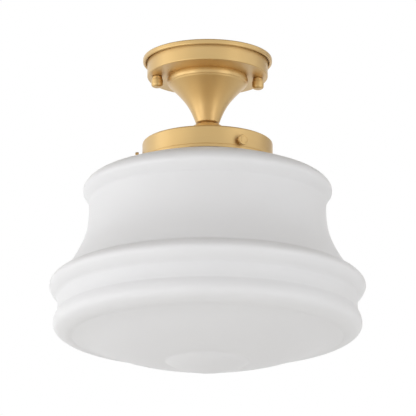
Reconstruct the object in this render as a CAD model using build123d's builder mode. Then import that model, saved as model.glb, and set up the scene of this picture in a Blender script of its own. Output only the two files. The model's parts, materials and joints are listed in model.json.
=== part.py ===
from build123d import *

import os
from math import cos, radians, sin

# Semi flush ceiling light: spun brass canopy, bell and shade holder, with an etched opal glass shade.
# Millimetres. The origin is the centre of the ceiling face, +Z is up, and the light is seen from -Y.
# Heights in the driving dimensions are depths below the ceiling: a piece at depth d lies at Z = -d.

# ---- driving dimensions: sheet, threads and fits -------------------------------------------------
SHEET = 1.0  # spun brass of the canopy and the bell
THREAD_GAP = 0.05  # radial play of every plain-drawn thread
SMALL_THREAD_R = 2.05  # studs, ground screw and thumb screws
STUD_HOLE_R = 2.3
PIPE_R = 4.85  # outside of the threaded tube that ties the light together
PIPE_BORE_R = 3.5
PIPE_HOLE_R = 5.0
BODY_GAP = 0.3  # between parts that only lie near each other

# ---- ceiling strap -------------------------------------------------------------------------------
STRAP_LENGTH = 130.0
STRAP_WIDTH = 18.0
STRAP_THICKNESS = 2.3
BOX_SLOT_SPACING = 79.4  # slot centres; each slot reaches from the 69.9 to the 88.9 mm box screws
BOX_SLOT_LENGTH = 14.2
BOX_SLOT_WIDTH = 4.6
STUD_SPACING = 119.0
STUD_TIP_DEPTH = 33.0
STUD_CHAMFER = 0.5
STUD_NUT_FLATS = 8.0
STUD_NUT_HEIGHT = 3.0
GROUND_SCREW_X = 22.0
GROUND_CLAMP = 1.6  # room for the earth lead under the screw's flange
GROUND_FLANGE_R = 4.6
GROUND_FLANGE = 0.8
GROUND_HEX_FLATS = 6.4
GROUND_HEX_HEIGHT = 2.2

# ---- trim ring and canopy ------------------------------------------------------------------------
RIM_R = 76.2
RIM_WIDTH = 3.5
RIM_HEIGHT = 6.2
RIM_ROUND = 1.7
RING_INNER_R = 66.8
CANOPY_R = 71.1
CANOPY_DEPTH = 23.4
CANOPY_EDGE = 1.3

# ---- cap nuts ------------------------------------------------------------------------------------
CAP_RELIEF_R = 4.7  # shadow gap between the nut and the canopy
CAP_RELIEF_HEIGHT = 0.8
CAP_COLLAR_R = 6.1
CAP_COLLAR_HEIGHT = 3.4
CAP_COLLAR_ROUND = 0.5
CAP_GROOVE_R = 5.6
CAP_GROOVE_HEIGHT = 0.7
CAP_BODY_R = 6.9
CAP_HEIGHT = 13.0
CAP_END_R = 3.2
CAP_BORE_SPARE = 0.4  # left over past the stud's tip

# ---- bell and collar -----------------------------------------------------------------------------
BELL_SEAT_R = 46.2
BELL_RIM = ((47.6, 26.0), (47.9, 28.6), (46.9, 31.7))
BELL_STEP = (46.1, 32.0)
BELL_CREASE = (45.0, 33.6)
BELL_CURVE = ((37.3, 41.1), (29.8, 49.5), (23.7, 57.9), (19.4, 65.8), (16.1, 73.4))
BELL_NECK = (13.9, 79.5)
BELL_FOOT_R = 13.3
BELL_DEPTH = 80.1
COLLAR_R = 10.0

# ---- shade holder --------------------------------------------------------------------------------
HOLDER_TOP_DEPTH = 82.4
HOLDER_HUB_R = 13.5
HOLDER_R = 76.5
HOLDER_DOME = ((18.0, 84.6), (26.0, 90.0), (40.0, 96.2))
HOLDER_DOME_TANGENTS = ((1, -0.15), (1, -0.18))
HOLDER_SHOULDER_DEPTH = 104.8
HOLDER_EDGE = 2.2
HOLDER_BOTTOM_DEPTH = 130.6
HOLDER_FOOT_ROUND = 0.6
HOLDER_WALL = 1.6
LIP_GROOVE_DEPTH = 126.9
LIP_GROOVE_R = 0.5

# ---- thumb screws --------------------------------------------------------------------------------
SCREW_DEPTH = 121.5
SCREW_AZIMUTHS = (26.2, 146.2, -93.8)  # degrees from -Y towards +X
SCREW_HEAD_R = 6.2
SCREW_HEAD_THICKNESS = 4.0
SCREW_FACE_R = 84.6  # distance of the head's face from the light's axis
SCREW_TIP_R = 74.1  # where the soft tip ends, just clear of the glass lip
TIP_R = 1.95
TIP_LENGTH = 0.8
TIP_PLUG_R = 1.1
TIP_PLUG_LENGTH = 2.0
KNURL_COUNT = 24
KNURL_R = 0.45
FACE_RECESS_R = 4.6
FACE_BUTTON_R = 3.6
FACE_RECESS = 0.35

# ---- threaded tube and its nuts ------------------------------------------------------------------
PIPE_TOP_DEPTH = 14.0
PIPE_BOTTOM_DEPTH = 95.0
PIPE_CHAMFER = 0.4
LOCKNUT_FLATS = 14.0
LOCKNUT_HEIGHT = 3.2
WASHER_R = 9.0
WASHER_THICKNESS = 1.0

# ---- lampholder ----------------------------------------------------------------------------------
SOCKET_HUB_R = 7.6
SOCKET_HUB_DEPTH = 88.6
SOCKET_CAP_R = 18.6
SOCKET_CAP_DEPTH = 96.0
SOCKET_CAP_ROUND = 2.0
SOCKET_SKIRT_DEPTH = 106.0
SET_SCREW_DEPTH = 92.0
SET_SCREW_R = 1.45
SET_SCREW_STAND = 0.6  # thread left between the hub and the head
SET_SCREW_HEAD_R = 2.6
SET_SCREW_HEAD = 1.4
SET_SCREW_SLOT = 0.8
PORCELAIN_R = 19.5
PORCELAIN_TOP_DEPTH = 101.6
PORCELAIN_FLOOR_DEPTH = 113.0
PORCELAIN_BOTTOM_DEPTH = 148.0
PORCELAIN_EDGE = 1.5
PORCELAIN_BORE_R = 14.9
TERMINAL_X = 10.0
TERMINAL_R = 1.6
TERMINAL_HOLE_DEPTH = 8.0
TERMINAL_LENGTH = 7.5
TERMINAL_HEAD_R = 3.1
TERMINAL_HEAD_HEIGHT = 2.2
SHELL_R = 14.6
SHELL_WALL = 0.5
SHELL_LENGTH = 27.0
SHELL_HOLE_R = 6.5
CONTACT_ROUTE = ((3.5, 113.4), (-2.8, 113.4), (-4.6, 115.6), (0.0, 117.6), (2.0, 117.2))
CONTACT_BEND = 1.0
CONTACT_THICKNESS = 0.5
CONTACT_WIDTH = 5.0

# ---- lamp ----------------------------------------------------------------------------------------
LAMP_TOP_DEPTH = 118.2
LAMP_LENGTH = 110.0
LAMP_R = 30.0
LAMP_CAP_R = 13.1
LAMP_CAP_SHOULDER = 4.0
LAMP_CAP_CHAMFER = 1.2
LAMP_CAP_LENGTH = 27.0
LAMP_CAP_WALL = 0.4
LAMP_CAP_HOLE_R = 8.0
LAMP_STEM_R = 12.5
LAMP_STEM_INSET = 1.4
LAMP_FLARE = (1.6, 1.0)  # how far the stem and the ball each pull on the curve between them
LAMP_GLASS = 0.8
INSULATOR_R = 9.0
INSULATOR_TAPER = 20
BULB_CONTACT_R = 4.6
BULB_CONTACT_HEIGHT = 1.0
BULB_CONTACT_ROUND = 0.6

# ---- leads: routes in x, y, z --------------------------------------------------------------------
LEAD_R = 1.1
LEAD_X = 1.5
LEAD_TOP_DEPTH = 9.0
LEAD_BOTTOM_DEPTH = 100.4
LEAD_END_Y = -28.0
LEAD_BENDS = (2.4, 4.7, 12.0)
EARTH_R = 0.8
EARTH_ROUTE = ((24.9, 4.0, -3.1), (24.9, -12.0, -3.1), (30.0, -25.0, -8.0), (31.0, -37.0, -8.5))
EARTH_BENDS = (20.0, 20.0)
CONNECTOR_X = 12.0
CONNECTOR_Y = -19.0
CONNECTOR_R = 6.0
CONNECTOR_LENGTH = 21.0
CONNECTOR_TAPER = 6
CONNECTOR_BORE_R = 2.4
CONNECTOR_BORE_DEPTH = 14.0

# ---- glass shade: radius and depth of the outside ------------------------------------------------
GLASS = 3.2
GLASS_TOP_DEPTH = 111.5
GLASS_LIP_R = 73.8
GLASS_LIP_DEPTH = 116.3
GLASS_LIP_ROUND = 1.0
GLASS_NECK_R = 71.0
NECK_ROOT = (GLASS_NECK_R, 130.0)
SHOULDER = (
    (84.0, 133.6), (100.0, 138.0), (127.0, 147.4), (143.7, 158.3), (145.8, 164.2), (142.4, 171.2),
)
WAIST_TOP = (138.9, 177.0)
WAIST = ((138.5, 190.0), (142.8, 220.0), (156.0, 248.0))
WAIST_FOOT = (167.0, 265.6)
UPPER_ROLL = ((179.2, 270.6), (183.8, 278.4), (180.8, 285.8))
UPPER_ROLL_FOOT = (175.2, 291.8)
LOWER_WAIST = (174.0, 301.0)
LOWER_ROLL_TOP = (175.3, 312.0)
LOWER_ROLL = ((178.7, 319.5), (178.6, 327.0), (172.2, 334.0))
DISH_EDGE = (158.0, 337.8)
DISH = ((140.0, 343.0), (115.0, 352.8), (90.0, 360.0))
DISH_TANGENTS = ((-1, -0.22), (-1, -0.1))  # directions at both ends, in x and z
BUTTON_EDGE = (48.0, 366.6)
BUTTON = ((43.0, 370.0), (21.0, 376.5))
BUTTON_TIP = (0.0, 377.9)
BUTTON_TANGENTS = ((-1, -1), (-1, 0))
CREASES = (WAIST_TOP, WAIST_FOOT, UPPER_ROLL_FOOT, LOWER_ROLL_TOP, DISH_EDGE, BUTTON_EDGE)
CREASE_ROUND = 6.0
NECK_ROUND = 3.0


def below(*points):
    """Turn (radius, depth) pairs into sketch points on the XZ plane."""
    return [(r, -depth) for r, depth in points]


def ring_at(radii):
    """Selector for the circular edges around the light's axis with one of these radii."""
    return lambda edge: edge.geom_type == GeomType.CIRCLE and any(
        abs(edge.radius - r) < 0.01 for r in radii
    )


def at_depth(depth):
    """Horizontal plane at a depth below the ceiling, facing up."""
    return Plane.XY.offset(-depth)


def screw_plane(azimuth):
    """Plane on the light's axis at thumb screw height, facing outward along the given azimuth."""
    turn = radians(azimuth)
    across = (cos(turn), sin(turn), 0)
    outward = (sin(turn), -cos(turn), 0)
    return Plane((0, 0, -SCREW_DEPTH), x_dir=across, z_dir=outward)


def lead_route(side):
    """Route of one lead, from its terminal up the tube and across to its connector."""
    return (
        (side * (TERMINAL_X - TERMINAL_HEAD_R), 0, -LEAD_BOTTOM_DEPTH),
        (side * LEAD_X, 0, -LEAD_BOTTOM_DEPTH),
        (side * LEAD_X, 0, -LEAD_TOP_DEPTH),
        (side * CONNECTOR_X, CONNECTOR_Y / 2, -LEAD_TOP_DEPTH),
        (side * CONNECTOR_X, LEAD_END_Y, -LEAD_TOP_DEPTH),
    )


def write_piece(piece, name):
    """Label a finished piece and write it as one STEP file."""
    piece.part.label = name
    export_step(piece.part, f"parts/{name}.step")


os.makedirs("parts", exist_ok=True)

# ==== ceiling strap with its studs, nuts and ground screw =========================================
with BuildPart() as crossbar:
    with BuildSketch(at_depth(STRAP_THICKNESS)):
        SlotOverall(STRAP_LENGTH, STRAP_WIDTH)
        with GridLocations(BOX_SLOT_SPACING, 0, 2, 1):
            SlotOverall(BOX_SLOT_LENGTH, BOX_SLOT_WIDTH, mode=Mode.SUBTRACT)
        with GridLocations(STUD_SPACING, 0, 2, 1):
            Circle(SMALL_THREAD_R + THREAD_GAP, mode=Mode.SUBTRACT)
        with Locations((GROUND_SCREW_X, 0)):
            Circle(SMALL_THREAD_R + THREAD_GAP, mode=Mode.SUBTRACT)
        Circle(PIPE_R + THREAD_GAP, mode=Mode.SUBTRACT)
    extrude(amount=STRAP_THICKNESS)
write_piece(crossbar, "crossbar")

with BuildPart() as canopy_studs:
    with BuildSketch():
        with GridLocations(STUD_SPACING, 0, 2, 1):
            Circle(SMALL_THREAD_R)
    extrude(amount=-STUD_TIP_DEPTH)
    chamfer(canopy_studs.faces().sort_by(Axis.Z)[:2].edges(), STUD_CHAMFER)
write_piece(canopy_studs, "canopy_studs")

with BuildPart() as stud_nuts:
    with BuildSketch(at_depth(STRAP_THICKNESS)):
        with GridLocations(STUD_SPACING, 0, 2, 1):
            RegularPolygon(radius=STUD_NUT_FLATS / 2, side_count=6, major_radius=False)
            Circle(SMALL_THREAD_R + THREAD_GAP, mode=Mode.SUBTRACT)
    extrude(amount=-STUD_NUT_HEIGHT)
write_piece(stud_nuts, "stud_nuts")

ground_flange_depth = STRAP_THICKNESS + GROUND_CLAMP
with BuildPart() as ground_screw:
    with BuildSketch():
        with Locations((GROUND_SCREW_X, 0)):
            Circle(SMALL_THREAD_R)
    extrude(amount=-ground_flange_depth)
    with BuildSketch(at_depth(ground_flange_depth)):
        with Locations((GROUND_SCREW_X, 0)):
            Circle(GROUND_FLANGE_R)
    extrude(amount=-GROUND_FLANGE)
    with BuildSketch(at_depth(ground_flange_depth + GROUND_FLANGE)):
        with Locations((GROUND_SCREW_X, 0)):
            RegularPolygon(radius=GROUND_HEX_FLATS / 2, side_count=6, major_radius=False)
    extrude(amount=-GROUND_HEX_HEIGHT)
write_piece(ground_screw, "ground_screw")

# ==== trim ring: flat web with a rounded rim ======================================================
with BuildPart() as trim_ring:
    with BuildSketch(Plane.XZ):
        with Locations((RIM_R - RIM_WIDTH / 2, -RIM_HEIGHT / 2)):
            RectangleRounded(RIM_WIDTH, RIM_HEIGHT, RIM_ROUND)
        with Locations((RING_INNER_R, 0)):
            Rectangle(RIM_R - RING_INNER_R - RIM_WIDTH / 2, SHEET, align=(Align.MIN, Align.MAX))
    revolve(axis=Axis.Z)
write_piece(trim_ring, "trim_ring")

# ==== canopy: spun cup, open to the ceiling =======================================================
with BuildPart() as canopy:
    with BuildSketch(at_depth(CANOPY_DEPTH)):
        Circle(CANOPY_R)
    extrude(amount=CANOPY_DEPTH - SHEET)
    fillet(canopy.edges().group_by(Axis.Z)[0], CANOPY_EDGE)
    offset(amount=-SHEET, openings=canopy.faces().sort_by(Axis.Z)[-1])
    with GridLocations(STUD_SPACING, 0, 2, 1):
        Hole(STUD_HOLE_R)
    Hole(PIPE_HOLE_R)
write_piece(canopy, "canopy")

# ==== cap nuts: relief, ring, groove and round-ended body, blind on the studs ======================
for side, name in ((-1, "cap_nut_left"), (1, "cap_nut_right")):
    seat = Plane((side * STUD_SPACING / 2, 0, -CANOPY_DEPTH))
    with BuildPart() as cap_nut:
        with BuildSketch(seat):
            Circle(CAP_RELIEF_R)
        extrude(amount=-CAP_RELIEF_HEIGHT)
        with BuildSketch(seat.offset(-CAP_RELIEF_HEIGHT)):
            Circle(CAP_COLLAR_R)
        extrude(amount=CAP_RELIEF_HEIGHT - CAP_COLLAR_HEIGHT)
        fillet(cap_nut.edges().group_by(Axis.Z)[0], CAP_COLLAR_ROUND)
        with BuildSketch(seat.offset(-CAP_COLLAR_HEIGHT)):
            Circle(CAP_GROOVE_R)
        extrude(amount=-CAP_GROOVE_HEIGHT)
        with BuildSketch(seat.offset(-CAP_COLLAR_HEIGHT - CAP_GROOVE_HEIGHT)):
            Circle(CAP_BODY_R)
        extrude(amount=CAP_COLLAR_HEIGHT + CAP_GROOVE_HEIGHT - CAP_HEIGHT)
        fillet(cap_nut.edges().group_by(Axis.Z)[0], CAP_END_R)
        with BuildSketch(seat):
            Circle(SMALL_THREAD_R + THREAD_GAP)
        extrude(amount=CANOPY_DEPTH - STUD_TIP_DEPTH - CAP_BORE_SPARE, mode=Mode.SUBTRACT)
    write_piece(cap_nut, name)

# ==== bell: spun trumpet with a rounded shoulder, open where it meets the canopy ==================
with BuildPart() as bell:
    with BuildSketch(Plane.XZ):
        with BuildLine():
            shoulder = Spline(*below((BELL_SEAT_R, CANOPY_DEPTH), *BELL_RIM))
            Polyline(*below(BELL_RIM[-1], BELL_STEP, BELL_CREASE))
            Spline(*below(BELL_CREASE, *BELL_CURVE, BELL_NECK))
            Polyline(
                *below(BELL_NECK, (BELL_FOOT_R, BELL_DEPTH), (0, BELL_DEPTH), (0, CANOPY_DEPTH)),
                shoulder @ 0,
            )
        make_face()
    revolve(axis=Axis.Z)
    offset(amount=-SHEET, openings=bell.faces().sort_by(Axis.Z)[-1])
    Hole(PIPE_HOLE_R)
write_piece(bell, "bell")

# ==== neck collar: plain turned ring ==============================================================
with BuildPart() as neck_collar:
    with BuildSketch(at_depth(BELL_DEPTH)):
        Circle(COLLAR_R)
        Circle(PIPE_HOLE_R, mode=Mode.SUBTRACT)
    extrude(amount=BELL_DEPTH - HOLDER_TOP_DEPTH)
write_piece(neck_collar, "neck_collar")

# ==== threaded tube with its washers and locknuts =================================================
with BuildPart() as nipple:
    with BuildSketch(at_depth(PIPE_TOP_DEPTH)):
        Circle(PIPE_R)
        Circle(PIPE_BORE_R, mode=Mode.SUBTRACT)
    extrude(amount=PIPE_TOP_DEPTH - PIPE_BOTTOM_DEPTH)
    chamfer(nipple.faces().sort_by(Axis.Z)[-1].edges(), PIPE_CHAMFER)
write_piece(nipple, "nipple")

canopy_floor_depth = CANOPY_DEPTH - SHEET
holder_inside_depth = HOLDER_TOP_DEPTH + HOLDER_WALL
for name, depth in (
    ("top_washer", canopy_floor_depth - WASHER_THICKNESS),
    ("bottom_washer", holder_inside_depth),
):
    with BuildPart() as washer:
        with BuildSketch(at_depth(depth)):
            Circle(WASHER_R)
            Circle(PIPE_R + THREAD_GAP, mode=Mode.SUBTRACT)
        extrude(amount=-WASHER_THICKNESS)
    write_piece(washer, name)

for name, depth in (
    ("top_locknut", canopy_floor_depth - WASHER_THICKNESS - LOCKNUT_HEIGHT),
    ("bottom_locknut", holder_inside_depth + WASHER_THICKNESS),
):
    with BuildPart() as locknut:
        with BuildSketch(at_depth(depth)):
            RegularPolygon(radius=LOCKNUT_FLATS / 2, side_count=6, major_radius=False)
            Circle(PIPE_R + THREAD_GAP, mode=Mode.SUBTRACT)
        extrude(amount=-LOCKNUT_HEIGHT)
    write_piece(locknut, name)

# ==== shade holder: domed top, straight skirt, turned lip and three tapped holes ==================
with BuildPart() as fitter:
    with BuildSketch(Plane.XZ):
        with BuildLine():
            hub = Line(*below((0, HOLDER_TOP_DEPTH), (HOLDER_HUB_R, HOLDER_TOP_DEPTH)))
            dome = Spline(
                hub @ 1,
                *below(*HOLDER_DOME, (HOLDER_R - HOLDER_EDGE, HOLDER_SHOULDER_DEPTH)),
                tangents=HOLDER_DOME_TANGENTS,
            )
            edge = JernArc(dome @ 1, (1, 0), HOLDER_EDGE, -90)
            Polyline(
                edge @ 1,
                *below((HOLDER_R, HOLDER_BOTTOM_DEPTH), (0, HOLDER_BOTTOM_DEPTH)),
                hub @ 0,
            )
        make_face()
    revolve(axis=Axis.Z)
    offset(amount=-HOLDER_WALL, openings=fitter.faces().sort_by(Axis.Z)[0])
    foot_edges = fitter.edges().group_by(Axis.Z)[0]
    fillet(foot_edges.sort_by(SortBy.LENGTH)[-1], HOLDER_FOOT_ROUND)
    with BuildSketch(Plane.XZ):
        with Locations((HOLDER_R, -LIP_GROOVE_DEPTH)):
            Circle(LIP_GROOVE_R)
    revolve(axis=Axis.Z, mode=Mode.SUBTRACT)
    Hole(PIPE_HOLE_R)
    for azimuth in SCREW_AZIMUTHS:
        with BuildSketch(screw_plane(azimuth).offset(HOLDER_R - 2 * HOLDER_WALL)):
            Circle(SMALL_THREAD_R + THREAD_GAP)
        extrude(amount=3 * HOLDER_WALL, mode=Mode.SUBTRACT)
write_piece(fitter, "fitter")

# ==== thumb screws: knurled head, plain-drawn thread and a soft tip on a plug =====================
tip_back_r = SCREW_TIP_R + TIP_LENGTH
head_back_r = SCREW_FACE_R - SCREW_HEAD_THICKNESS
for number, azimuth in enumerate(SCREW_AZIMUTHS, start=1):
    outward = screw_plane(azimuth)
    with BuildPart() as thumb_screw:
        with BuildSketch(outward.offset(tip_back_r + THREAD_GAP)):
            Circle(SMALL_THREAD_R)
        extrude(amount=head_back_r - tip_back_r - THREAD_GAP)
        with BuildSketch(outward.offset(head_back_r)):
            Circle(SCREW_HEAD_R)
            with PolarLocations(SCREW_HEAD_R, KNURL_COUNT):
                Circle(KNURL_R, mode=Mode.SUBTRACT)
        extrude(amount=SCREW_HEAD_THICKNESS)
        with BuildSketch(outward.offset(SCREW_FACE_R)):
            Circle(FACE_RECESS_R)
            Circle(FACE_BUTTON_R, mode=Mode.SUBTRACT)
        extrude(amount=-FACE_RECESS, mode=Mode.SUBTRACT)
        with BuildSketch(outward.offset(tip_back_r)):
            Circle(TIP_PLUG_R + THREAD_GAP)
        extrude(amount=TIP_PLUG_LENGTH + THREAD_GAP, mode=Mode.SUBTRACT)
    write_piece(thumb_screw, f"thumb_screw_{number}")

    with BuildPart() as screw_tip:
        with BuildSketch(outward.offset(SCREW_TIP_R)):
            Circle(TIP_R)
        extrude(amount=TIP_LENGTH)
        with BuildSketch(outward.offset(tip_back_r)):
            Circle(TIP_PLUG_R)
        extrude(amount=TIP_PLUG_LENGTH)
    write_piece(screw_tip, f"screw_tip_{number}")

# ==== lampholder ==================================================================================
with BuildPart() as socket_cap:
    with BuildSketch(at_depth(SOCKET_CAP_DEPTH)):
        Circle(SOCKET_CAP_R)
    extrude(amount=SOCKET_CAP_DEPTH - SOCKET_SKIRT_DEPTH)
    fillet(socket_cap.edges().group_by(Axis.Z)[-1], SOCKET_CAP_ROUND)
    with BuildSketch(at_depth(SOCKET_SKIRT_DEPTH)):
        Circle(SOCKET_CAP_R - SHEET)
    extrude(amount=SOCKET_SKIRT_DEPTH - SOCKET_CAP_DEPTH - SHEET, mode=Mode.SUBTRACT)
    with BuildSketch(at_depth(SOCKET_HUB_DEPTH)):
        Circle(SOCKET_HUB_R)
    extrude(amount=SOCKET_HUB_DEPTH - SOCKET_CAP_DEPTH)
    with Locations((0, 0, -SOCKET_HUB_DEPTH)):
        Hole(PIPE_R + THREAD_GAP)
    with BuildSketch(Plane.YZ.offset(PIPE_R)):
        with Locations((0, -SET_SCREW_DEPTH)):
            Circle(SET_SCREW_R + THREAD_GAP)
    extrude(amount=SOCKET_HUB_R, mode=Mode.SUBTRACT)
write_piece(socket_cap, "socket_cap")

set_screw_head_x = SOCKET_HUB_R + SET_SCREW_STAND
with BuildPart() as cap_set_screw:
    with BuildSketch(Plane.YZ.offset(PIPE_R)):
        with Locations((0, -SET_SCREW_DEPTH)):
            Circle(SET_SCREW_R)
    extrude(amount=set_screw_head_x - PIPE_R)
    with BuildSketch(Plane.YZ.offset(set_screw_head_x)):
        with Locations((0, -SET_SCREW_DEPTH)):
            Circle(SET_SCREW_HEAD_R)
            Rectangle(SET_SCREW_SLOT, 2 * SET_SCREW_HEAD_R, mode=Mode.SUBTRACT)
    extrude(amount=SET_SCREW_HEAD)
write_piece(cap_set_screw, "cap_set_screw")

porcelain_shoulder_depth = SOCKET_SKIRT_DEPTH + BODY_GAP
with BuildPart() as socket_body:
    with BuildSketch(at_depth(PORCELAIN_TOP_DEPTH)):
        Circle(SOCKET_CAP_R - SHEET - BODY_GAP)
    extrude(amount=PORCELAIN_TOP_DEPTH - porcelain_shoulder_depth)
    with BuildSketch(at_depth(porcelain_shoulder_depth)):
        Circle(PORCELAIN_R)
    extrude(amount=porcelain_shoulder_depth - PORCELAIN_BOTTOM_DEPTH)
    fillet(socket_body.edges().group_by(Axis.Z)[0], PORCELAIN_EDGE)
    with BuildSketch(at_depth(PORCELAIN_BOTTOM_DEPTH)):
        Circle(PORCELAIN_BORE_R)
    extrude(amount=PORCELAIN_BOTTOM_DEPTH - PORCELAIN_FLOOR_DEPTH, mode=Mode.SUBTRACT)
    with Locations((0, 0, -PORCELAIN_TOP_DEPTH)):
        with GridLocations(2 * TERMINAL_X, 0, 2, 1):
            Hole(TERMINAL_R + THREAD_GAP, depth=TERMINAL_HOLE_DEPTH)
write_piece(socket_body, "socket_body")

with BuildPart() as terminal_screws:
    with BuildSketch(at_depth(PORCELAIN_TOP_DEPTH)):
        with GridLocations(2 * TERMINAL_X, 0, 2, 1):
            Circle(TERMINAL_R)
    extrude(amount=-TERMINAL_LENGTH)
    with BuildSketch(at_depth(PORCELAIN_TOP_DEPTH)):
        with GridLocations(2 * TERMINAL_X, 0, 2, 1):
            Circle(TERMINAL_HEAD_R)
    extrude(amount=TERMINAL_HEAD_HEIGHT)
write_piece(terminal_screws, "terminal_screws")

with BuildPart() as screw_shell:
    with BuildSketch(at_depth(PORCELAIN_FLOOR_DEPTH)):
        Circle(SHELL_R)
    extrude(amount=-SHELL_LENGTH)
    offset(amount=-SHELL_WALL, openings=screw_shell.faces().sort_by(Axis.Z)[0])
    with Locations((0, 0, -PORCELAIN_FLOOR_DEPTH)):
        Hole(SHELL_HOLE_R)
write_piece(screw_shell, "screw_shell")

with BuildPart() as centre_contact:
    with BuildSketch(Plane.XZ):
        with BuildLine():
            tongue = FilletPolyline(*below(*CONTACT_ROUTE), radius=CONTACT_BEND)
            offset(tongue, amount=CONTACT_THICKNESS / 2)
        make_face()
    extrude(amount=CONTACT_WIDTH / 2, both=True)
write_piece(centre_contact, "centre_contact")

# ==== lamp ========================================================================================
lamp_shoulder_depth = LAMP_TOP_DEPTH + LAMP_CAP_SHOULDER
lamp_mouth_depth = LAMP_TOP_DEPTH + LAMP_CAP_LENGTH
lamp_stem_depth = lamp_shoulder_depth + LAMP_STEM_INSET
lamp_end_depth = LAMP_TOP_DEPTH + LAMP_LENGTH

with BuildPart() as bulb_cap:
    with BuildSketch(at_depth(lamp_shoulder_depth)):
        Circle(LAMP_CAP_R)
    extrude(amount=lamp_shoulder_depth - lamp_mouth_depth)
    chamfer(bulb_cap.edges().group_by(Axis.Z)[-1], LAMP_CAP_CHAMFER)
    offset(amount=-LAMP_CAP_WALL, openings=bulb_cap.faces().sort_by(Axis.Z)[0])
    with Locations((0, 0, -lamp_shoulder_depth)):
        Hole(LAMP_CAP_HOLE_R)
write_piece(bulb_cap, "bulb_cap")

with BuildPart() as bulb_insulator:
    with BuildSketch(at_depth(lamp_shoulder_depth)):
        Circle(INSULATOR_R)
    extrude(amount=LAMP_CAP_SHOULDER - BULB_CONTACT_HEIGHT, taper=INSULATOR_TAPER)
write_piece(bulb_insulator, "bulb_insulator")

with BuildPart() as bulb_contact:
    with BuildSketch(at_depth(LAMP_TOP_DEPTH + BULB_CONTACT_HEIGHT)):
        Circle(BULB_CONTACT_R)
    extrude(amount=BULB_CONTACT_HEIGHT)
    fillet(bulb_contact.edges().group_by(Axis.Z)[-1], BULB_CONTACT_ROUND)
write_piece(bulb_contact, "bulb_contact")

with BuildPart() as bulb_globe:
    with BuildSketch(Plane.XZ):
        with BuildLine():
            stem = Polyline(
                *below((0, lamp_stem_depth), (LAMP_STEM_R, lamp_stem_depth)),
                *below((LAMP_STEM_R, lamp_mouth_depth)),
            )
            ball_centre = (0, LAMP_R - lamp_end_depth)
            Spline(
                stem @ 1,
                (LAMP_R, LAMP_R - lamp_end_depth),
                tangents=((0, -1), (0, -1)),
                tangent_scalars=LAMP_FLARE,
            )
            CenterArc(ball_centre, LAMP_R, 270, 90)
            Line((0, -lamp_end_depth), stem @ 0)
        make_face()
    revolve(axis=Axis.Z)
    offset(amount=-LAMP_GLASS, openings=bulb_globe.faces().sort_by(Axis.Z)[-1])
write_piece(bulb_globe, "bulb_globe")

# ==== shade: one piece of blown glass, lip, shoulder, waist, two rolls, dish and button ===========
with BuildPart() as shade:
    with BuildSketch(Plane.XZ):
        with BuildLine():
            Polyline(*below((0, GLASS_TOP_DEPTH), (GLASS_NECK_R, GLASS_TOP_DEPTH), NECK_ROOT))
            Spline(*below(NECK_ROOT, *SHOULDER, WAIST_TOP))
            Spline(*below(WAIST_TOP, *WAIST, WAIST_FOOT))
            Spline(*below(WAIST_FOOT, *UPPER_ROLL, UPPER_ROLL_FOOT))
            ThreePointArc(*below(UPPER_ROLL_FOOT, LOWER_WAIST, LOWER_ROLL_TOP))
            Spline(*below(LOWER_ROLL_TOP, *LOWER_ROLL, DISH_EDGE))
            Spline(*below(DISH_EDGE, *DISH, BUTTON_EDGE), tangents=DISH_TANGENTS)
            Spline(*below(BUTTON_EDGE, *BUTTON, BUTTON_TIP), tangents=BUTTON_TANGENTS)
            Line(*below(BUTTON_TIP, (0, GLASS_TOP_DEPTH)))
        make_face()
    revolve(axis=Axis.Z)
    offset(amount=-GLASS, openings=shade.faces().sort_by(Axis.Z)[-1])
    # the creases are drawn sharp and only soften in the glass
    fillet(shade.edges().filter_by(ring_at([r for r, _ in CREASES])), CREASE_ROUND)
    fillet(shade.edges().filter_by(ring_at([GLASS_NECK_R])), NECK_ROUND)
    with BuildSketch(at_depth(GLASS_TOP_DEPTH)):
        Circle(GLASS_LIP_R)
        Circle(GLASS_NECK_R - GLASS, mode=Mode.SUBTRACT)
    extrude(amount=GLASS_TOP_DEPTH - GLASS_LIP_DEPTH)
    fillet(shade.edges().filter_by(ring_at([GLASS_LIP_R])), GLASS_LIP_ROUND)
write_piece(shade, "shade")

# ==== leads and connectors ========================================================================
leads = {
    "live_lead": (LEAD_R, lead_route(1), LEAD_BENDS),
    "neutral_lead": (LEAD_R, lead_route(-1), LEAD_BENDS),
    "earth_lead": (EARTH_R, EARTH_ROUTE, EARTH_BENDS),
}
for name, (radius, points, bends) in leads.items():
    with BuildPart() as lead:
        with BuildLine() as route:
            FilletPolyline(*points, radius=bends)
        with BuildSketch(Plane(route.line @ 0, z_dir=route.line % 0)):
            Circle(radius)
        sweep()
    write_piece(lead, name)

with BuildPart() as wire_connectors:
    for side in (-1, 1):
        mouth_centre = (side * CONNECTOR_X, CONNECTOR_Y, -LEAD_TOP_DEPTH)
        mouth = Plane(mouth_centre, x_dir=(1, 0, 0), z_dir=(0, -1, 0))
        with BuildSketch(mouth):
            Circle(CONNECTOR_R)
        extrude(amount=CONNECTOR_LENGTH, taper=CONNECTOR_TAPER)
        with BuildSketch(mouth):
            Circle(CONNECTOR_BORE_R)
        extrude(amount=CONNECTOR_BORE_DEPTH, mode=Mode.SUBTRACT)
write_piece(wire_connectors, "wire_connectors")
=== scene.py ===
import json
from math import atan2, cos, radians, sin

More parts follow.
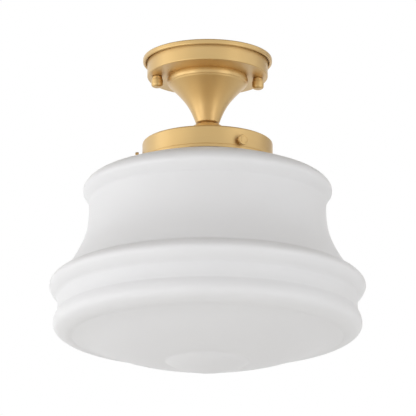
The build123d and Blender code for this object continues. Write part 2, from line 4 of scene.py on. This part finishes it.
import bmesh
import bpy
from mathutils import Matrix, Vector

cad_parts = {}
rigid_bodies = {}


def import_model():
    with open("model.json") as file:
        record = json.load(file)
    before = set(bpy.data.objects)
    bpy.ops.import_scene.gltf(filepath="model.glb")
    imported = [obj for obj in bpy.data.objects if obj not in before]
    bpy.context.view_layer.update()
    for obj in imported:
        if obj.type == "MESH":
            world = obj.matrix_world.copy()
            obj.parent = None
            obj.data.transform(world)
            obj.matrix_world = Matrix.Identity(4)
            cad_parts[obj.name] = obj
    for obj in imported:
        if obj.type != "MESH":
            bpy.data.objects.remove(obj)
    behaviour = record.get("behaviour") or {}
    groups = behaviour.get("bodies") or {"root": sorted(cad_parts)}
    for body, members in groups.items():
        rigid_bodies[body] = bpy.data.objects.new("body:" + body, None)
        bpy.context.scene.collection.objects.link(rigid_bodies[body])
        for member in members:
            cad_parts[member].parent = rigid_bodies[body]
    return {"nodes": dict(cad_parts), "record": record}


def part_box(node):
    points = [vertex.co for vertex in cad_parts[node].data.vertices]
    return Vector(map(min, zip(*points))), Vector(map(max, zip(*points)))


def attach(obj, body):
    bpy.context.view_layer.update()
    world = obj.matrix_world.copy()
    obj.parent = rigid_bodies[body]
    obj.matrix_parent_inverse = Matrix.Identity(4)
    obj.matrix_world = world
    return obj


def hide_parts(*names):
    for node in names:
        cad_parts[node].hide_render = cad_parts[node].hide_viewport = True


for leftover in list(bpy.data.objects):
    bpy.data.objects.remove(leftover)

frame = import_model()
bpy.context.view_layer.update()

bl_info = {
    "name": "Semi Flush Ceiling Light",
    "version": (1, 0, 0),
    "blender": (4, 5, 0),
    "location": "3D View > Sidebar > Ceiling Light",
    "description": "Finishes a satin brass ceiling light with an etched opal glass shade",
    "category": "Object",
}

MM = 0.001  # the frame is in metres
WHITE = (1, 1, 1, 1)

# the photograph: a 416 pixel square, with the light's axis a little left of the middle
PHOTO_SIDE = 416
PHOTO_FOCAL = 3600  # focal length in pixels
PHOTO_AXIS_OFFSET = 0.45
CAMERA_DISTANCE = 4.205  # metres from the point aimed at
CAMERA_PITCH = radians(15.68)
CAMERA_AZIMUTH = radians(-3.6)
CAMERA_AIM = (0, 0, -183.1 * MM)
CAMERA_REACH = 100  # metres

# patterns in the finishes
LINE_DARK, LINE_PALE = 0.3, 0.7  # the values between which most of the brush line noise lies
LINE_GLOSS = 0.03  # how far the brass roughness varies across the lines
MILK_SCALE = 14.0  # soft clouds, some 70 mm across
ETCH_SCALE = 900.0  # etching grain about 1 mm across, coarser than real so that a render can hold it
ETCH_DEPTH = 0.1 * MM

# finish of each smaller part's slot: material, two colours, metallic, roughness and grain size
PLAIN_FINISHES = {
    # cool grey metal with a soft, slightly patchy sheen
    "zinc_steel": ("steel_zinc_plated", "#B9BCC0", "#A5A9AE", 1.0, 0.38, 1.5 * MM),
    # muted green with the metal's sheen under it
    "green_steel": ("steel_green_passivated", "#2F7D46", "#246A3A", 0.6, 0.4, 1.0 * MM),
    # pale, waxy plastic without a sharp highlight
    "soft_tip": ("soft_vinyl_clear", "#D9D5C8", "#CFCBBD", 0.0, 0.5, 1.0 * MM),
    # smooth yellow metal with tight highlights
    "socket_brass": ("brass_rolled_bright", "#CFA860", "#C59C52", 1.0, 0.25, 3.0 * MM),
    # cream white under a glaze that shows sharp highlights
    "porcelain": ("porcelain_glazed", "#EFEDE6", "#E9E6DD", 0.0, 0.12, 6.0 * MM),
    # deeper yellow metal, a little less bright than rolled sheet
    "terminal_brass": ("brass_stamped", "#D2A85C", "#C69A4C", 1.0, 0.3, 1.0 * MM),
    # warm silver, the brightest metal of the light
    "nickel_shell": ("nickel_plated_brass", "#C3C0B6", "#B4B1A6", 1.0, 0.22, 2.0 * MM),
    # pale silver with soft highlights
    "lamp_cap": ("aluminium_rolled", "#CDCFD1", "#BFC1C4", 1.0, 0.32, 2.0 * MM),
    # near black with a glassy shine
    "black_glass": ("black_insulating_glass", "#141416", "#1E1E21", 0.0, 0.15, 1.0 * MM),
    # dull grey metal, finely lumpy
    "solder": ("soft_solder_dull", "#9EA1A5", "#8B8F94", 1.0, 0.45, 0.8 * MM),
    # even warm white with a broad, soft highlight
    "lamp_glass": ("lamp_glass_frosted", "#F3F1EC", "#EFEDE6", 0.0, 0.4, 4.0 * MM),
    # black plastic with a soft shine
    "black_lead": ("lead_vinyl_black", "#1B1B1C", "#232325", 0.0, 0.45, 1.0 * MM),
    # off-white plastic with the same soft shine
    "white_lead": ("lead_vinyl_white", "#E6E5E0", "#DEDDD7", 0.0, 0.45, 1.0 * MM),
    # reddish metal, lightly dulled
    "bare_copper": ("copper_bare", "#C8764E", "#B5653F", 1.0, 0.35, 1.0 * MM),
    # strong orange plastic with a moulded sheen
    "connector_plastic": ("thermoplastic_orange", "#D9772B", "#CF6C22", 0.0, 0.4, 1.0 * MM),
}

# the thumb screws: azimuths from the front towards the right, and how finely they are meshed
SCREW_AZIMUTHS = (radians(26.2), radians(146.2), radians(-93.8))
ONTO_FRONT = (radians(90), 0, 0)  # turns an upright shape to face the front
SIDES_PER_KNURL = 4
GROOVE_FLANK = 0.1 * MM  # width of each sloping wall of the ring in the face
RIM_TOLERANCE = 0.01 * MM
SHANK_SIDES = 32
SHANK_OVERLAP = 0.2 * MM  # how far the shank reaches into the head
THREAD_SIDES = 4  # of the diamond section
THREAD_STEPS = 24  # per turn
MERGE_DISTANCE = 0.001 * MM
SMOOTH_ANGLE = radians(35)
NEARLY_ALONG = 0.99  # least cosine between a face's normal and the way it is said to look

# the stage, in metres
STAGE_AIM = (0, 0, -0.15)  # the point that lamps and screens face
FLOOR_SIZE = 12
SCREENS = (  # name, place, size and colour
    ("screen_above", (0, 0, 1.3), 3.0, "#8A8276"),
    ("screen_right", (1.9, 1.35, 0.2), 1.9, "#D8D6D2"),
)


def linear(hex_colour):
    """An sRGB hex colour as linear red, green, blue and a full alpha."""
    channels = [int(hex_colour[i : i + 2], 16) / 255 for i in (1, 3, 5)]
    straight = [c / 12.92 if c <= 0.04045 else ((c + 0.055) / 1.055) ** 2.4 for c in channels]
    return (*straight, 1.0)


def add_node(tree, kind, inputs=None, **settings):
    """Add a node; inputs maps a socket's name or number to a value or to the socket that feeds it."""
    made = tree.nodes.new(kind)
    for name, value in settings.items():
        setattr(made, name, value)
    for key, value in (inputs or {}).items():
        if isinstance(value, bpy.types.NodeSocket):
            tree.links.new(value, made.inputs[key])
        else:
            made.inputs[key].default_value = value
    return made


def new_tree(name):
    """A fresh material and its empty node tree."""
    made = bpy.data.materials.new(name)
    made.use_nodes = True
    made.node_tree.nodes.clear()
    return made, made.node_tree


def vector_math(tree, operation, inputs):
    """Add a vector math node."""
    return add_node(tree, "ShaderNodeVectorMath", inputs, operation=operation)


def blend(tree, factor, first, second):
    """Add a node that mixes two colours by factor."""
    return add_node(tree, "ShaderNodeMix", {"Factor": factor, "A": first, "B": second}, data_type="RGBA")


def turned_brass(name, settings, colours, centre=(0, 0, 0), axis=(0, 0, 1)):
    """Lathe-turned satin brass under a clear lacquer: fine brush lines run round the axis through centre,
    so light smears along the profile and the lacquer pales the highlights."""
    made, tree = new_tree(name)
    place = add_node(tree, "ShaderNodeTexCoord")
    centred = vector_math(tree, "SUBTRACT", {0: place.outputs["Object"], 1: centre})
    along = vector_math(tree, "PROJECT", {0: centred.outputs[0], 1: axis})
    flat = vector_math(tree, "SUBTRACT", {0: centred.outputs[0], 1: along.outputs[0]})
    radius = vector_math(tree, "LENGTH", {0: flat.outputs[0]})
    outward = vector_math(tree, "NORMALIZE", {0: flat.outputs[0]})
    around = vector_math(tree, "CROSS_PRODUCT", {0: axis, 1: outward.outputs[0]})

    # brush lines, coarser than real ones so that they show from the camera
    pitches = 1 / settings.brush_pitch
    lines_out = add_node(
        tree, "ShaderNodeMath", {0: radius.outputs["Value"], 1: pitches}, operation="MULTIPLY"
    )
    lines_along = vector_math(tree, "SCALE", {0: along.outputs[0], "Scale": pitches})
    stretched = vector_math(tree, "SCALE", {0: outward.outputs[0], "Scale": settings.brush_arc})
    brushed = vector_math(tree, "ADD", {0: stretched.outputs[0], 1: lines_along.outputs[0]})
    lines = add_node(
        tree,
        "ShaderNodeTexNoise",
        {
            "Vector": brushed.outputs[0],
            "W": lines_out.outputs[0],
            "Scale": 1.0,
            "Detail": 3.0,
            "Roughness": 0.6,
        },
        noise_dimensions="4D",
    )
    rough = add_node(
        tree,
        "ShaderNodeMapRange",
        {
            "Value": lines.outputs[0],
            "From Min": LINE_DARK,
            "From Max": LINE_PALE,
            "To Min": settings.brass_roughness - LINE_GLOSS,
            "To Max": settings.brass_roughness + LINE_GLOSS,
        },
    )
    groove = add_node(
        tree,
        "ShaderNodeBump",
        {"Height": lines.outputs[0], "Strength": settings.brush_strength, "Distance": settings.brush_depth},
    )

    # faint warm patches
    cloud = add_node(
        tree,
        "ShaderNodeTexNoise",
        {"Vector": centred.outputs[0], "Scale": 1 / settings.tarnish_size, "Detail": 2.0},
    )
    colour = blend(tree, cloud.outputs[0], colours[0], colours[1])

    shader = add_node(
        tree,
        "ShaderNodeBsdfPrincipled",
        {
            "Base Color": colour.outputs["Result"],
            "Metallic": 1.0,
            "Roughness": rough.outputs[0],
            "Anisotropic": 0.6,
            "Anisotropic Rotation": 0.25,
            "Tangent": around.outputs[0],
            "Normal": groove.outputs[0],
            "Coat Weight": 0.5,
            "Coat Roughness": 0.3,
        },
    )
    add_node(tree, "ShaderNodeOutputMaterial", {"Surface": shader.outputs[0]})
    return made


def etched_opal(name, settings):
    """White opal glass, blown and acid-etched: milky all through, with a dull silky face."""
    made, tree = new_tree(name)
    place = add_node(tree, "ShaderNodeTexCoord")
    milk = add_node(
        tree, "ShaderNodeTexNoise", {"Vector": place.outputs["Object"], "Scale": MILK_SCALE, "Detail": 2.0}
    )
    colour = blend(tree, milk.outputs[0], settings.glass_colour, settings.glass_thin)
    etch = add_node(
        tree, "ShaderNodeTexNoise", {"Vector": place.outputs["Object"], "Scale": ETCH_SCALE, "Detail": 2.0}
    )
    frost = add_node(
        tree, "ShaderNodeBump", {"Height": etch.outputs[0], "Strength": 0.05, "Distance": ETCH_DEPTH}
    )
    shader = add_node(
        tree,
        "ShaderNodeBsdfPrincipled",
        {
            "Base Color": colour.outputs["Result"],
            "Roughness": settings.glass_roughness,
            "IOR": 1.5,
            "Specular IOR Level": 0.5,
            "Subsurface Weight": 0.6,
            "Subsurface Radius": (1.0, 1.0, 1.0),
            "Subsurface Scale": settings.glass_depth,
            "Normal": frost.outputs[0],
        },
    )
    add_node(tree, "ShaderNodeOutputMaterial", {"Surface": shader.outputs[0]})
    return made


def plain_finish(name, colour, shade, metallic, roughness, grain):
    """A smaller part's finish: two close colours mottled at grain size, with a matching faint relief."""
    made, tree = new_tree(name)
    place = add_node(tree, "ShaderNodeTexCoord")
    mottle = add_node(
        tree,
        "ShaderNodeTexNoise",
        {"Vector": place.outputs["Object"], "Scale": 1 / grain, "Detail": 3.0},
    )
    mixed = blend(tree, mottle.outputs[0], linear(colour), linear(shade))
    relief = add_node(
        tree, "ShaderNodeBump", {"Height": mottle.outputs[0], "Strength": 0.15, "Distance": grain / 10}
    )
    shader = add_node(
        tree,
        "ShaderNodeBsdfPrincipled",
        {
            "Base Color": mixed.outputs["Result"],
            "Metallic": metallic,
            "Roughness": roughness,
            "Normal": relief.outputs[0],
        },
    )
    add_node(tree, "ShaderNodeOutputMaterial", {"Surface": shader.outputs[0]})
    return made


def matt_paint(name, tone):
    """A material, its tree and the node of a dull, even paint, which the caller leads to the output."""
    made, tree = new_tree(name)
    matt = add_node(tree, "ShaderNodeBsdfDiffuse", {"Color": linear(tone)})
    return made, tree, matt


class CeilingLightFinish(bpy.types.PropertyGroup):
    """Colours and sizes of the finishes that a user would change."""

    brass_colour: bpy.props.FloatVectorProperty(
        name="Brass", description="Satin brass", subtype="COLOR", size=4, default=linear("#DDBE84")
    )
    brass_warm: bpy.props.FloatVectorProperty(
        name="Warm brass",
        description="Where the brass has warmed",
        subtype="COLOR",
        size=4,
        default=linear("#D9B678"),
    )
    # painted shade: a darker brass for the collar, standing in for the shade under the bell's foot
    collar_painted_shade: bpy.props.FloatVectorProperty(
        name="Neck brass",
        description="Collar brass darkened as painted shade",
        subtype="COLOR",
        size=4,
        default=linear("#AE8040"),
    )
    brass_roughness: bpy.props.FloatProperty(
        name="Brass roughness", description="How satin the brass is", default=0.5, min=0, max=1
    )
    brush_pitch: bpy.props.FloatProperty(
        name="Brush pitch", description="From one brush line to the next", default=1.2 * MM, unit="LENGTH"
    )
    brush_arc: bpy.props.FloatProperty(
        name="Brush arc", description="How often a brush line changes in one turn", default=3.0
    )
    brush_depth: bpy.props.FloatProperty(
        name="Brush depth", description="Depth of the brush lines", default=0.03 * MM, unit="LENGTH"
    )
    brush_strength: bpy.props.FloatProperty(
        name="Brush strength", description="How much the lines tilt the surface", default=0.5, min=0, max=1
    )
    tarnish_size: bpy.props.FloatProperty(
        name="Colour patch size",
        description="Size of the faint warm patches",
        default=60 * MM,
        unit="LENGTH",
    )
    glass_colour: bpy.props.FloatVectorProperty(
        name="Opal", description="Opal glass", subtype="COLOR", size=4, default=linear("#E4E4E5")
    )
    glass_thin: bpy.props.FloatVectorProperty(
        name="Thin opal",
        description="Opal glass where it is thinner",
        subtype="COLOR",
        size=4,
        default=linear("#E2E2E4"),
    )
    glass_roughness: bpy.props.FloatProperty(
        name="Etch roughness", description="How dull the etched face is", default=0.5, min=0, max=1
    )
    glass_depth: bpy.props.FloatProperty(
        name="Milk depth", description="How far light spreads in the glass", default=8 * MM, unit="LENGTH"
    )


class CeilingLightScrews(bpy.types.PropertyGroup):
    """Sizes of the three thumb screws that hold the shade."""

    depth: bpy.props.FloatProperty(
        name="Depth", description="From the ceiling to the screws", default=121.5 * MM, unit="LENGTH"
    )
    face_reach: bpy.props.FloatProperty(
        name="Face",
        description="From the light's axis to the screw's face",
        default=84.6 * MM,
        unit="LENGTH",
    )
    tip_reach: bpy.props.FloatProperty(
        name="Shank end",
        description="From the light's axis to the shank's end",
        default=74.95 * MM,
        unit="LENGTH",
    )
    head_radius: bpy.props.FloatProperty(
        name="Head radius", description="Radius over the knurls", default=6.2 * MM, unit="LENGTH"
    )
    head_thickness: bpy.props.FloatProperty(
        name="Head thickness", description="Thickness of the head", default=4 * MM, unit="LENGTH"
    )
    chamfer: bpy.props.FloatProperty(
        name="Chamfer", description="Turned-off edge of the head", default=0.45 * MM, unit="LENGTH"
    )
    groove_radius: bpy.props.FloatProperty(
        name="Groove radius",
        description="Outside of the ring turned into the face",
        default=4.6 * MM,
        unit="LENGTH",
    )
    groove_width: bpy.props.FloatProperty(
        name="Groove width",
        description="Width of the ring turned into the face",
        default=1 * MM,
        unit="LENGTH",
    )
    groove_depth: bpy.props.FloatProperty(
        name="Groove depth",
        description="Depth of the ring turned into the face",
        default=0.35 * MM,
        unit="LENGTH",
    )
    knurls: bpy.props.IntProperty(name="Knurls", description="Notches round the head", default=24)
    knurl_depth: bpy.props.FloatProperty(
        name="Knurl depth", description="Depth of each notch", default=0.4 * MM, unit="LENGTH"
    )
    thread_radius: bpy.props.FloatProperty(
        name="Thread radius", description="Radius over the thread", default=2.05 * MM, unit="LENGTH"
    )
    thread_height: bpy.props.FloatProperty(
        name="Thread height", description="From the root to the crest", default=0.4 * MM, unit="LENGTH"
    )
    thread_pitch: bpy.props.FloatProperty(
        name="Thread pitch",
        description="From one turn of the thread to the next",
        default=0.794 * MM,
        unit="LENGTH",
    )


class CeilingLightStage(bpy.types.PropertyGroup):
    """Lamps and surroundings."""

    room_level: bpy.props.FloatProperty(
        name="Room level", description="Even light from all round", default=0.92, min=0
    )
    left_power: bpy.props.FloatProperty(
        name="Left lamp",
        description="Power of the soft lamp in front on the left",
        default=11,
        min=0,
        unit="POWER",
    )
    side_power: bpy.props.FloatProperty(
        name="Side lamp",
        description="Power of the broad lamp on the left",
        default=10,
        min=0,
        unit="POWER",
    )
    right_power: bpy.props.FloatProperty(
        name="Right lamp",
        description="Power of the soft lamp in front on the right",
        default=8,
        min=0,
        unit="POWER",
    )
    floor_depth: bpy.props.FloatProperty(
        name="Floor depth", description="From the ceiling down to the floor", default=2.4, unit="LENGTH"
    )


class CEILINGLIGHT_OT_finishes(bpy.types.Operator):
    """Give every part of the light its finish"""

    bl_idname = "ceiling_light.finishes"
    bl_label = "Finish the parts"

    def execute(self, context):
        settings = context.scene.ceiling_light_finish
        polished = (settings.brass_colour, settings.brass_warm)
        # the collar's darker brass is painted shade, not a different finish
        painted_shade_colours = (settings.collar_painted_shade, settings.collar_painted_shade)
        brass = turned_brass("satin_brass_turned", settings, polished)
        finishes = {"etched_glass": etched_opal("opal_glass_etched", settings)}
        for slot, finish in PLAIN_FINISHES.items():
            finishes[slot] = plain_finish(*finish)

        for part in frame["record"]["subparts"]:
            name = part["node"]
            slot = part["material_slot"]
            if name.startswith("cap_nut"):
                low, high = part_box(name)
                centre = ((low.x + high.x) / 2, (low.y + high.y) / 2, 0)
                finish = turned_brass("satin_brass_" + name, settings, polished, centre)
            # the collar gets the darker brass, which paints the shade under the bell's foot
            elif name == "neck_collar":
                finish = turned_brass("satin_brass_collar_painted_shade", settings, painted_shade_colours)
            else:
                finish = brass if slot == "satin_brass" else finishes[slot]
            node = frame["nodes"][name]
            node.data.materials.clear()
            node.data.materials.append(finish)
        return {"FINISHED"}


def select_only(part):
    """Make one object the whole selection, and the active object."""
    bpy.ops.object.select_all(action="DESELECT")
    part.select_set(True)
    bpy.context.view_layer.objects.active = part


def apply_placement():
    """Move the selected object's place, turn and scale into its mesh."""
    bpy.ops.object.transform_apply(location=True, rotation=True, scale=True)


def pick_vertices(part, wanted):
    """Select, in edit mode, the vertices that wanted is true for."""
    shape = bmesh.from_edit_mesh(part.data)
    for vertex in shape.verts:
        vertex.select_set(wanted(vertex))
    shape.select_flush_mode()
    bmesh.update_edit_mesh(part.data)


def pick_end_face(part, toward):
    """Select, in edit mode, the largest face that looks along toward."""
    shape = bmesh.from_edit_mesh(part.data)
    for face in shape.faces:
        face.select_set(False)
    ends = (face for face in shape.faces if face.normal.dot(toward) > NEARLY_ALONG)
    max(ends, key=lambda face: face.calc_area()).select_set(True)
    shape.select_flush_mode()
    bmesh.update_edit_mesh(part.data)


def turn_head(settings):
    """A knurled, chamfered head with a ring turned into its face, at the front of the light."""
    outward = Vector((0, -1, 0))
    middle = Vector((0, -(settings.face_reach - settings.head_thickness / 2), -settings.depth))
    sides = SIDES_PER_KNURL * settings.knurls

    bpy.ops.object.select_all(action="DESELECT")
    bpy.ops.mesh.primitive_cylinder_add(
        vertices=sides,
        radius=settings.head_radius,
        depth=settings.head_thickness,
        location=middle,
        rotation=ONTO_FRONT,
    )
    head = bpy.context.object
    apply_placement()

    bpy.ops.object.mode_set(mode="EDIT")
    for toward in (outward, -outward):
        pick_end_face(head, toward)
        bpy.ops.mesh.inset(thickness=settings.chamfer, depth=0)
    pick_end_face(head, outward)
    for inward, raised in (
        (settings.head_radius - settings.chamfer - settings.groove_radius, 0),
        (GROOVE_FLANK, -settings.groove_depth),
        (settings.groove_width - 2 * GROOVE_FLANK, 0),
        (GROOVE_FLANK, settings.groove_depth),
    ):
        bpy.ops.mesh.inset(thickness=inward, depth=raised)

    def on_rim(vertex):
        across = vertex.co - middle
        across.y = 0
        return across.length > settings.head_radius - RIM_TOLERANCE

    def in_notch(vertex):
        turned = atan2(vertex.co.z - middle.z, vertex.co.x)
        return on_rim(vertex) and round(turned / radians(360 / sides)) % SIDES_PER_KNURL == 0

    pick_vertices(head, on_rim)
    shorter = 1 - 2 * settings.chamfer / settings.head_thickness
    bpy.ops.transform.resize(value=(1, shorter, 1), center_override=middle)
    pick_vertices(head, in_notch)
    pinch = 1 - settings.knurl_depth / settings.head_radius
    bpy.ops.transform.resize(value=(pinch, 1, pinch), center_override=middle)
    bpy.ops.object.mode_set(mode="OBJECT")
    return head


def turn_shank(settings, root, length):
    """The shank inside the thread, a little way into the head."""
    bpy.ops.object.select_all(action="DESELECT")
    bpy.ops.mesh.primitive_cylinder_add(
        vertices=SHANK_SIDES,
        radius=root,
        depth=length,
        location=(0, -(settings.tip_reach + length / 2), -settings.depth),
        rotation=ONTO_FRONT,
    )
    apply_placement()
    return bpy.context.object


def wind_thread(settings, root, length):
    """A diamond section wound round the shank, whose inner half lies in the shank."""
    bpy.ops.object.select_all(action="DESELECT")
    bpy.ops.mesh.primitive_circle_add(
        vertices=THREAD_SIDES, radius=settings.thread_height, rotation=ONTO_FRONT
    )
    thread = bpy.context.object
    apply_placement()
    thread.scale.z = settings.thread_pitch / 2 / settings.thread_height
    thread.location.x = root
    apply_placement()
    coil = thread.modifiers.new("thread", "SCREW")
    coil.screw_offset = settings.thread_pitch
    coil.iterations = int((length - SHANK_OVERLAP) / settings.thread_pitch) - 1
    coil.steps = coil.render_steps = THREAD_STEPS
    bpy.ops.object.modifier_apply(modifier=coil.name)

    bpy.ops.object.mode_set(mode="EDIT")
    bpy.ops.mesh.select_all(action="SELECT")
    bpy.ops.mesh.remove_doubles(threshold=MERGE_DISTANCE)
    bpy.ops.mesh.fill_holes(sides=THREAD_SIDES)
    bpy.ops.mesh.normals_make_consistent(inside=False)
    bpy.ops.object.mode_set(mode="OBJECT")
    thread.rotation_euler = ONTO_FRONT
    thread.location = (0, -(settings.tip_reach + settings.thread_pitch), -settings.depth)
    apply_placement()
    return thread


class CEILINGLIGHT_OT_thumb_screws(bpy.types.Operator):
    """Turn the three knurled thumb screws, with threads and a ringed face"""

    bl_idname = "ceiling_light.thumb_screws"
    bl_label = "Thumb screws"

    def execute(self, context):
        settings = context.scene.ceiling_light_screws
        brass = context.scene.ceiling_light_finish
        root = settings.thread_radius - settings.thread_height
        head_back = settings.face_reach - settings.head_thickness
        length = head_back - settings.tip_reach + SHANK_OVERLAP

        head = turn_head(settings)
        shank = turn_shank(settings, root, length)
        thread = wind_thread(settings, root, length)
        for part in (head, shank, thread):
            part.select_set(True)
        context.view_layer.objects.active = head
        bpy.ops.object.join()
        bpy.ops.object.shade_smooth_by_angle(angle=SMOOTH_ANGLE)

        for number, azimuth in enumerate(SCREW_AZIMUTHS, start=1):
            select_only(head)
            if number < len(SCREW_AZIMUTHS):
                bpy.ops.object.duplicate()
            screw = context.object
            screw.name = f"thumb_screw_{number}_detail"
            screw.rotation_euler.z = azimuth
            apply_placement()
            finish = turned_brass(
                f"satin_brass_thumb_screw_{number}",
                brass,
                (brass.brass_colour, brass.brass_warm),
                (0, 0, -settings.depth),
                (sin(azimuth), -cos(azimuth), 0),
            )
            screw.data.materials.append(finish)
            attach(screw, f"thumb_screw_{number}")
            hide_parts(f"thumb_screw_{number}")
        return {"FINISHED"}


def set_room(scene, level):
    """Surroundings that look white wherever they are seen, and light the object at level."""
    world = bpy.data.worlds.new("pale_room")
    scene.world = world
    world.use_nodes = True
    tree = world.node_tree
    tree.nodes.clear()
    path = add_node(tree, "ShaderNodeLightPath")
    direct = add_node(
        tree,
        "ShaderNodeMath",
        {0: path.outputs["Is Camera Ray"], 1: path.outputs["Is Glossy Ray"]},
        operation="MAXIMUM",
    )
    seen = add_node(
        tree,
        "ShaderNodeMath",
        {0: direct.outputs[0], 1: path.outputs["Is Transmission Ray"]},
        operation="MAXIMUM",
    )
    white = add_node(tree, "ShaderNodeBackground", {"Color": WHITE, "Strength": 1.0})
    room = add_node(tree, "ShaderNodeBackground", {"Color": WHITE, "Strength": level})
    mixed = add_node(
        tree, "ShaderNodeMixShader", {0: seen.outputs[0], 1: room.outputs[0], 2: white.outputs[0]}
    )
    add_node(tree, "ShaderNodeOutputWorld", {"Surface": mixed.outputs[0]})


def set_floor(depth):
    """A pale floor that is clear from below, so that it never hides the light."""
    bpy.ops.object.select_all(action="DESELECT")
    bpy.ops.mesh.primitive_plane_add(size=FLOOR_SIZE, location=(0, 0, -depth))
    floor = bpy.context.object
    floor.name = "floor"
    paint, tree, matt = matt_paint("pale_floor", "#EDECEA")
    facing = add_node(tree, "ShaderNodeNewGeometry")
    clear = add_node(tree, "ShaderNodeBsdfTransparent")
    both = add_node(
        tree,
        "ShaderNodeMixShader",
        {0: facing.outputs["Backfacing"], 1: matt.outputs[0], 2: clear.outputs[0]},
    )
    add_node(tree, "ShaderNodeOutputMaterial", {"Surface": both.outputs[0]})
    floor.data.materials.append(paint)


def set_screen(name, place, size, tone):
    """A grey board, hidden from the camera, that gives the brass something darker to mirror."""
    bpy.ops.mesh.primitive_plane_add(size=size, location=place)
    screen = bpy.context.object
    screen.name = name
    screen.rotation_euler = (Vector(STAGE_AIM) - Vector(place)).to_track_quat("Z", "Y").to_euler()
    screen.visible_camera = False
    paint, tree, matt = matt_paint("grey_" + name, tone)
    add_node(tree, "ShaderNodeOutputMaterial", {"Surface": matt.outputs[0]})
    screen.data.materials.append(paint)


def set_lamp(name, place, size, power):
    """A soft rectangular lamp, size wide and high."""
    bpy.ops.object.light_add(type="AREA", location=place)
    lamp = bpy.context.object
    lamp.name = name
    lamp.data.shape = "RECTANGLE"
    lamp.data.size, lamp.data.size_y = size
    lamp.data.energy = power
    lamp.rotation_euler = (Vector(STAGE_AIM) - Vector(place)).to_track_quat("-Z", "Y").to_euler()


def set_camera(scene):
    """The camera of the photograph, below the light and looking up at it."""
    back = Vector(
        (
            sin(CAMERA_AZIMUTH) * cos(CAMERA_PITCH),
            -cos(CAMERA_AZIMUTH) * cos(CAMERA_PITCH),
            -sin(CAMERA_PITCH),
        )
    )
    bpy.ops.object.camera_add(location=Vector(CAMERA_AIM) + back * CAMERA_DISTANCE)
    camera = bpy.context.object
    camera.name = "photo_camera"
    camera.rotation_euler = (-back).to_track_quat("-Z", "Y").to_euler()
    camera.data.lens = PHOTO_FOCAL / PHOTO_SIDE * camera.data.sensor_width
    camera.data.shift_x = PHOTO_AXIS_OFFSET / PHOTO_SIDE
    camera.data.clip_end = CAMERA_REACH
    scene.camera = camera


class CEILINGLIGHT_OT_stage(bpy.types.Operator):
    """Set up the floor, the lamps, the surroundings and the camera"""

    bl_idname = "ceiling_light.stage"
    bl_label = "Set the stage"

    def execute(self, context):
        settings = context.scene.ceiling_light_stage
        context.scene.view_settings.view_transform = "Standard"
        set_room(context.scene, settings.room_level)
        set_floor(settings.floor_depth)
        set_lamp("left_lamp", place=(-1.95, -1.60, -0.95), size=(1.4, 1.3), power=settings.left_power)
        set_lamp("side_lamp", place=(-2.50, -0.15, -0.35), size=(1.4, 1.4), power=settings.side_power)
        set_lamp("right_lamp", place=(1.85, -1.75, -0.75), size=(1.0, 1.3), power=settings.right_power)
        for screen in SCREENS:
            set_screen(*screen)
        set_camera(context.scene)
        return {"FINISHED"}


class CEILINGLIGHT_PT_panel(bpy.types.Panel):
    """Sidebar list of the light's steps"""

    bl_label = "Ceiling Light"
    bl_idname = "CEILINGLIGHT_PT_panel"
    bl_space_type = "VIEW_3D"
    bl_region_type = "UI"
    bl_category = "Ceiling Light"

    def draw(self, context):
        for operator in OPERATORS:
            self.layout.operator(operator.bl_idname)


GROUPS = (CeilingLightFinish, CeilingLightScrews, CeilingLightStage)
OPERATORS = (CEILINGLIGHT_OT_finishes, CEILINGLIGHT_OT_thumb_screws, CEILINGLIGHT_OT_stage)
PANELS = (CEILINGLIGHT_PT_panel,)


def register():
    for made in GROUPS + OPERATORS + PANELS:
        bpy.utils.register_class(made)
    bpy.types.Scene.ceiling_light_finish = bpy.props.PointerProperty(type=CeilingLightFinish)
    bpy.types.Scene.ceiling_light_screws = bpy.props.PointerProperty(type=CeilingLightScrews)
    bpy.types.Scene.ceiling_light_stage = bpy.props.PointerProperty(type=CeilingLightStage)


def unregister():
    del bpy.types.Scene.ceiling_light_stage
    del bpy.types.Scene.ceiling_light_screws
    del bpy.types.Scene.ceiling_light_finish
    for made in reversed(GROUPS + OPERATORS + PANELS):
        bpy.utils.unregister_class(made)


def main():
    register()
    bpy.ops.ceiling_light.finishes()
    bpy.ops.ceiling_light.thumb_screws()
    bpy.ops.ceiling_light.stage()
    bpy.context.view_layer.update()


if __name__ == "__main__":
    main()
